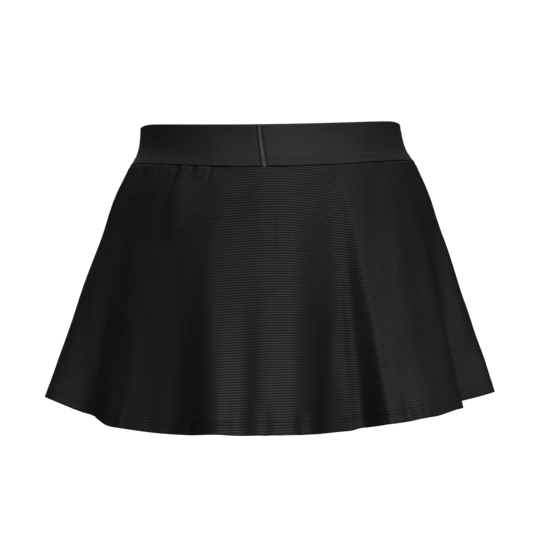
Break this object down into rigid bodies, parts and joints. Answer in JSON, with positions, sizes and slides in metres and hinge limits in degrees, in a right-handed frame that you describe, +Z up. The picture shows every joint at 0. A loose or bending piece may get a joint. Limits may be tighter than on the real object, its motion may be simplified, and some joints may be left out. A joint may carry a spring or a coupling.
{
  "type": "tennis skort",
  "caption": "Worn tennis skort: a wide elastic waistband over a flared rib-knit skirt in soft folds, with close-fitting inner shorts.",
  "frame": {"origin": "on the axis of the wearer's waist, level with the waistband's top edge at the centre back", "axes": "+Z up along the wearer's body, +X to the wearer's right, +Y to the front, so the centre back is at -Y"},
  "size_m": [0.4438, 0.3387, 0.2938],
  "materials": {
    "elastic": "matte",
    "rib_knit": "matte",
    "jersey": "matte"
  },
  "bodies": {
    "root": {"waistband": "elastic", "waistband_seam": "elastic", "skirt_back": "rib_knit", "skirt_front": "rib_knit", "shorts_left": "jersey", "shorts_right": "jersey"}
  },
  "joints": []
}
